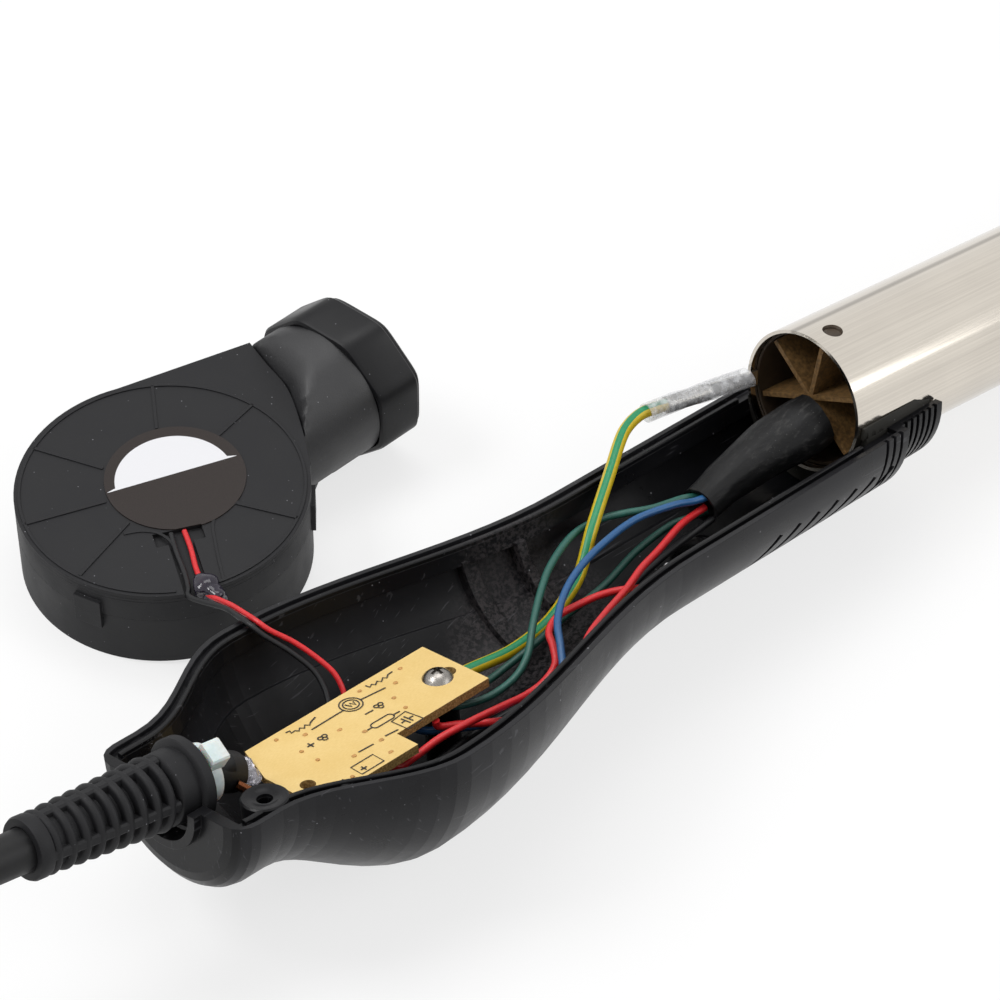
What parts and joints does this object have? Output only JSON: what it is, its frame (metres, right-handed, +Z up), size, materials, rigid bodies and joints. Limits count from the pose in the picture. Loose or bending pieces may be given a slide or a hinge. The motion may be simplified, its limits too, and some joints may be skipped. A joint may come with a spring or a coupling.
{
  "type": "hot air rework handpiece",
  "caption": "Opened hot air handpiece: half-shell with heater tube, board, wiring and cable, its blower lifted out beside it on two leads.",
  "frame": {"origin": "bottom centre of the box round everything but the cable outside the strain relief, on the floor it lies on", "axes": "+X along the floor towards the nozzle end, +Y towards the side where the blower lies, +Z up"},
  "size_m": [0.4866, 0.1328, 0.042],
  "materials": {
    "shell_black": "fine satin, worn at the edges",
    "board_tan": "bare phenolic sheet with printed marks",
    "screw_steel": "bright",
    "solder": "dull bright",
    "resistor_tan": "lacquered",
    "capacitor_blue": "sleeved",
    "diode_black": "moulded",
    "switch_gold": "gilt",
    "boot_rubber": "matt",
    "tie_nylon": "translucent white",
    "cable_black": "satin",
    "copper_core": "tinned copper strands",
    "glue_clear": "clear hot glue",
    "connector_metal": "satin nickel",
    "insert_black": "plain",
    "pin_gold": "gilt",
    "tube_steel": "bright, warm tinted bands",
    "gasket_rubber": "matt grey-black",
    "tinned": "tinned",
    "sleeve_clear": "clear plastic tube",
    "mica_tan": "sawn mica",
    "mica_brown": "rolled mica",
    "heater_wire": "oxidised",
    "shrink_black": "matt, dusty",
    "earth_stripe": "yellow with a green stripe",
    "wire_blue": "plain",
    "wire_green": "plain",
    "wire_red": "plain",
    "wire_black": "plain",
    "blower_black": "fine texture",
    "collar_black": "satin",
    "label_brown": "plain foil",
    "winding_copper": "enamelled",
    "board_green": "lacquered",
    "bush_brass": "turned",
    "magnet_grey": "bonded ferrite",
    "shaft_steel": "ground"
  },
  "bodies": {
    "handpiece": {"lower_shell": "shell_black", "circuit_board": "board_tan", "board_screw": "screw_steel", "board_solder": "solder", "board_resistors": "resistor_tan", "board_capacitor": "capacitor_blue", "board_diodes": "diode_black", "tilt_switch": "switch_gold", "strain_relief": "boot_rubber", "cable_tie": "tie_nylon", "cable_jacket": "cable_black", "cable_cores": "copper_core", "jacket_glue": "glue_clear", "cord_run": "cable_black", "cord_coil": "cable_black", "connector_shell": "connector_metal", "connector_nut": "connector_metal", "connector_insert": "insert_black", "connector_pins": "pin_gold", "heater_tube": "tube_steel", "tube_gasket": "gasket_rubber", "earth_tab": "tinned", "spade_terminal": "tinned", "terminal_sleeve": "sleeve_clear", "mica_star": "mica_tan", "mica_liner": "mica_brown", "heating_coil": "heater_wire", "heat_shrink": "shrink_black", "earth_wire": "earth_stripe", "blue_wire": "wire_blue", "green_wire": "wire_green", "dark_green_wire": "wire_green", "red_wire": "wire_red", "sensor_wire": "wire_red", "black_wire": "wire_black", "blower_cover": "blower_black", "blower_base": "blower_black", "blower_collar": "collar_black", "blower_label": "label_brown", "stator": "winding_copper", "blower_board": "board_green", "bearing_bush": "bush_brass", "lead_red": "wire_red", "lead_black": "wire_black", "lead_glue": "glue_clear"},
    "rotor": {"impeller": "blower_black", "rotor_magnet": "magnet_grey", "motor_shaft": "shaft_steel"}
  },
  "joints": [
    {"name": "impeller_spin", "type": "hinge", "parent": "handpiece", "child": "rotor", "pos_m": [-0.0623, 0.03234, 0.01035], "axis": [-0.0856, 0.0014, 0.9963], "continuous": true}
  ]
}
